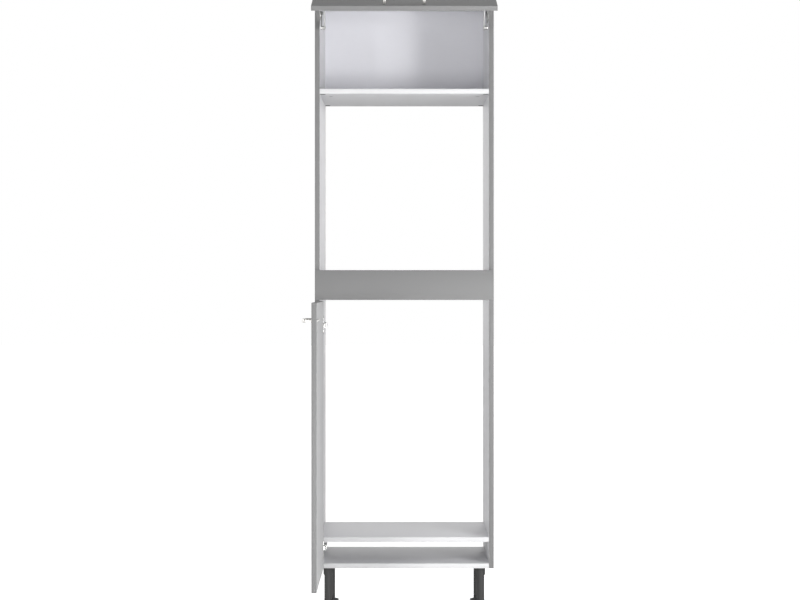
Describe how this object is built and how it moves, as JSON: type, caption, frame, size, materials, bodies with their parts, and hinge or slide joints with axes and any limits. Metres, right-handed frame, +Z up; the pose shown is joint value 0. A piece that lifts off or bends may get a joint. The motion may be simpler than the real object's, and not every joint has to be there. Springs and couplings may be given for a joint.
{
  "type": "tall oven and fridge housing unit",
  "caption": "Tall kitchen housing with an open oven niche, a fridge niche behind a hinged door and an upper compartment under a lift-up flap, on adjustable legs.",
  "frame": {"origin": "on the underside of the carcass, in the middle of its width and of the depth of its sides", "axes": "+X to the right seen from the front, +Y to the back, +Z up"},
  "size_m": [0.619, 1.1762, 2.118],
  "materials": {
    "white_board": "particle board with a smooth white melamine face",
    "grey_front": "satin warm grey lacquered front board, white on its inner face",
    "grey_edging": "satin grey edge strip",
    "back_board": "thin hardboard, white lacquered",
    "black_plastic": "moulded black plastic, fine texture",
    "steel_hardware": "nickel-plated pressed steel",
    "satin_handle": "satin nickel bow handle",
    "zinc_connector": "die-cast cam with a zinc-plated bolt"
  },
  "bodies": {
    "root": {"side_left": "white_board", "side_right": "white_board", "edging_left": "grey_edging", "edging_right": "grey_edging", "bottom_panel": "white_board", "fridge_shelf": "white_board", "oven_shelf": "white_board", "upper_shelf": "white_board", "top_panel": "white_board", "back_panel": "back_board", "connector_bottom_left": "zinc_connector", "connector_bottom_right": "zinc_connector", "connector_fridge_left": "zinc_connector", "connector_fridge_right": "zinc_connector", "connector_oven_left": "zinc_connector", "connector_oven_right": "zinc_connector", "connector_upper_left": "zinc_connector", "connector_upper_right": "zinc_connector", "connector_top_left": "zinc_connector", "connector_top_right": "zinc_connector", "fascia_panel": "grey_front", "fascia_bracket_left": "steel_hardware", "fascia_bracket_right": "steel_hardware", "door_hinge_plate_lower": "steel_hardware", "door_hinge_plate_upper": "steel_hardware", "door_hinge_arm_lower": "steel_hardware", "door_hinge_arm_upper": "steel_hardware", "flap_hinge_plate_left": "steel_hardware", "flap_hinge_plate_right": "steel_hardware", "flap_hinge_arm_left": "steel_hardware", "flap_hinge_arm_right": "steel_hardware", "stay_base_left": "steel_hardware", "stay_base_right": "steel_hardware", "leg_front_left": "black_plastic", "leg_front_right": "black_plastic", "leg_rear_left": "black_plastic", "leg_rear_right": "black_plastic"},
    "door_hinge_links": {"door_hinge_link_lower": "steel_hardware", "door_hinge_link_upper": "steel_hardware"},
    "door": {"door_panel": "grey_front", "door_handle": "satin_handle", "door_hinge_cup_lower": "steel_hardware", "door_hinge_cup_upper": "steel_hardware"},
    "flap_hinge_links": {"flap_hinge_link_left": "steel_hardware", "flap_hinge_link_right": "steel_hardware"},
    "flap": {"flap_panel": "grey_front", "flap_handle": "satin_handle", "flap_hinge_cup_left": "steel_hardware", "flap_hinge_cup_right": "steel_hardware", "stay_bracket_left": "steel_hardware", "stay_bracket_right": "steel_hardware"},
    "stay_arm_left": {"stay_arm_left": "steel_hardware"},
    "stay_arm_right": {"stay_arm_right": "steel_hardware"},
    "stay_link_left": {"stay_link_left": "steel_hardware"},
    "stay_link_right": {"stay_link_right": "steel_hardware"},
    "foot_front_left": {"foot_front_left": "black_plastic"},
    "foot_front_right": {"foot_front_right": "black_plastic"},
    "foot_rear_left": {"foot_rear_left": "black_plastic"},
    "foot_rear_right": {"foot_rear_right": "black_plastic"}
  },
  "joints": [
    {"name": "door_link_slide", "type": "slide", "parent": "root", "child": "door_hinge_links", "axis": [0, -1, 0], "range_m": [-0.0268, 0.0016]},
    {"name": "door_swing", "type": "hinge", "parent": "door_hinge_links", "child": "door", "pos_m": [-0.2765, -0.3182, 0.45], "axis": [0, 0, -1], "range_deg": [-90, 5]},
    {"name": "flap_link_slide", "type": "slide", "parent": "root", "child": "flap_hinge_links", "axis": [0, -1, 0], "range_m": [-0.0219, 0]},
    {"name": "flap_swing", "type": "hinge", "parent": "flap_hinge_links", "child": "flap", "pos_m": [0, -0.31337, 1.9265], "axis": [-1, 0, 0], "range_deg": [-73.7, 0]},
    {"name": "stay_arm_swing_left", "type": "hinge", "parent": "root", "child": "stay_arm_left", "pos_m": [-0.277, -0.241, 1.866], "axis": [-1, 0, 0], "range_deg": [-64.3, 0]},
    {"name": "stay_arm_swing_right", "type": "hinge", "parent": "root", "child": "stay_arm_right", "pos_m": [0.277, -0.241, 1.866], "axis": [-1, 0, 0], "range_deg": [-64.3, 0]},
    {"name": "stay_link_swing_left", "type": "hinge", "parent": "stay_arm_left", "child": "stay_link_left", "pos_m": [-0.266, -0.32021, 1.80829], "axis": [-1, 0, 0], "range_deg": [0, 69.9]},
    {"name": "stay_link_swing_right", "type": "hinge", "parent": "stay_arm_right", "child": "stay_link_right", "pos_m": [0.266, -0.32021, 1.80829], "axis": [-1, 0, 0], "range_deg": [0, 69.9]},
    {"name": "foot_turn_front_left", "type": "hinge", "parent": "root", "child": "foot_front_left", "pos_m": [-0.258, -0.213, -0.16], "axis": [0, 0, 1], "range_deg": [-720, 720]},
    {"name": "foot_turn_front_right", "type": "hinge", "parent": "root", "child": "foot_front_right", "pos_m": [0.258, -0.213, -0.16], "axis": [0, 0, 1], "range_deg": [-720, 720]},
    {"name": "foot_turn_rear_left", "type": "hinge", "parent": "root", "child": "foot_rear_left", "pos_m": [-0.258, 0.147, -0.16], "axis": [0, 0, 1], "range_deg": [-720, 720]},
    {"name": "foot_turn_rear_right", "type": "hinge", "parent": "root", "child": "foot_rear_right", "pos_m": [0.258, 0.147, -0.16], "axis": [0, 0, 1], "range_deg": [-720, 720]}
  ],
  "couplings": [
    {"joint": "door_link_slide", "follows": "door_swing", "m_per_rad": 0.017},
    {"joint": "flap_link_slide", "follows": "flap_swing", "m_per_rad": 0.017},
    {"joint": "stay_arm_swing_left", "follows": "flap_swing", "ratio": 0.87016},
    {"joint": "stay_arm_swing_right", "follows": "flap_swing", "ratio": 0.87016},
    {"joint": "stay_link_swing_left", "follows": "flap_swing", "ratio": -0.94707},
    {"joint": "stay_link_swing_right", "follows": "flap_swing", "ratio": -0.94707}
  ]
}
